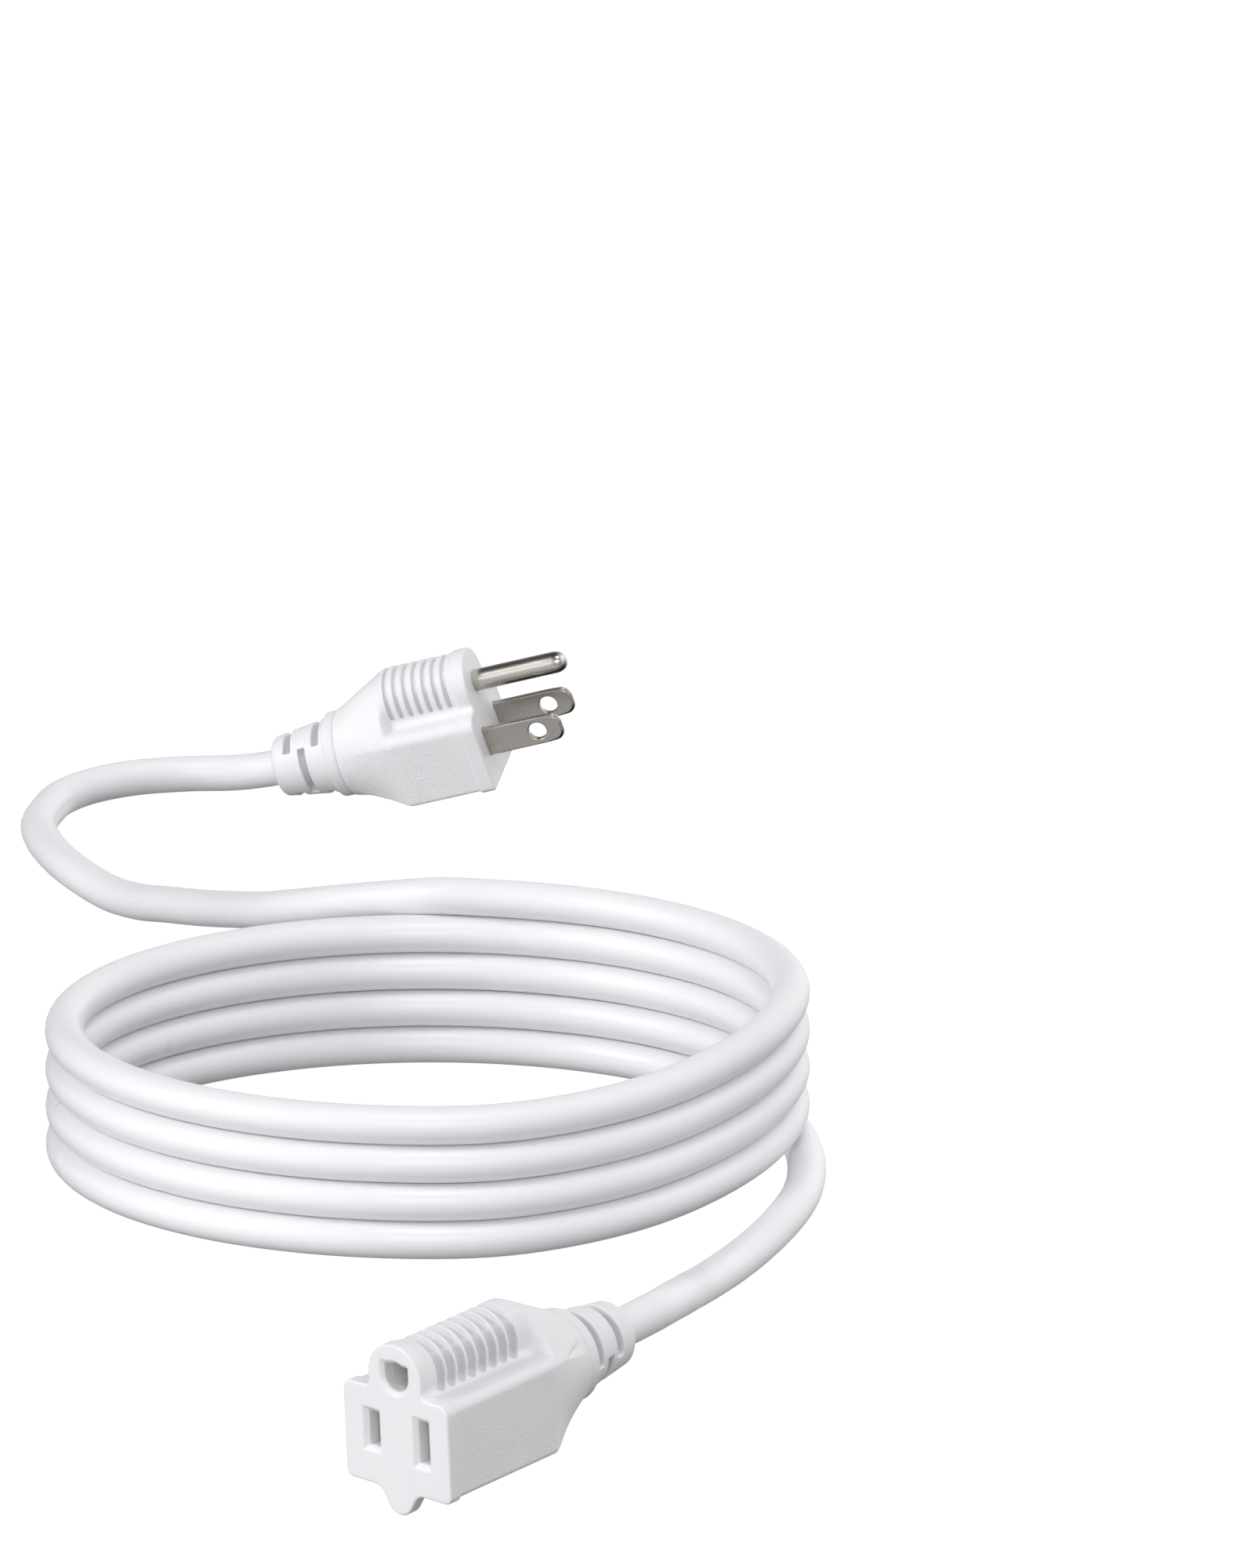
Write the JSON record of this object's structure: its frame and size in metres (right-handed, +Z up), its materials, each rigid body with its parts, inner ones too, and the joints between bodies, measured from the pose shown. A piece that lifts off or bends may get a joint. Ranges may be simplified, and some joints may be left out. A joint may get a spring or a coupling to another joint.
{
  "type": "extension_cord",
  "caption": "White three-prong grounded extension cord with a moulded plug, a moulded single connector and a thick round cord lying in a flat coil.",
  "frame": {"origin": "Middle of the box around the plug and the connector, at floor level", "axes": "+Z up from the floor; -Y is within six degrees of the way the connector's face looks; +X is to the right of someone facing the connector's face"},
  "size_m": [0.4268, 0.4255, 0.0392],
  "materials": {
    "white_vinyl": "satin moulded vinyl with a fine grain on the grips",
    "white_jacket": "smooth semi-gloss extruded jacket",
    "nickel_blade": "satin nickel plate",
    "nickel_pin": "bright nickel plate",
    "inner_resin": "hard moulded resin",
    "brass_contact": "stamped brass",
    "copper_strand": "bare copper strands",
    "black_insulation": "smooth vinyl",
    "white_insulation": "smooth vinyl",
    "green_insulation": "smooth vinyl"
  },
  "bodies": {
    "root": {"plug_body": "white_vinyl", "plug_strain_relief": "white_vinyl", "plug_insert": "inner_resin", "line_blade": "nickel_blade", "neutral_blade": "nickel_blade", "ground_pin": "nickel_pin", "plug_line_wire": "black_insulation", "plug_neutral_wire": "white_insulation", "plug_ground_wire": "green_insulation", "plug_wire_cores": "copper_strand", "cord_plug_tail": "white_jacket", "cord_coil": "white_jacket", "cord_connector_tail": "white_jacket", "connector_body": "white_vinyl", "connector_strain_relief": "white_vinyl", "contact_carrier": "inner_resin", "carrier_cover": "inner_resin", "line_contact": "brass_contact", "neutral_contact": "brass_contact", "ground_contact": "brass_contact", "connector_line_wire": "black_insulation", "connector_neutral_wire": "white_insulation", "connector_ground_wire": "green_insulation", "connector_wire_cores": "copper_strand"}
  },
  "joints": []
}
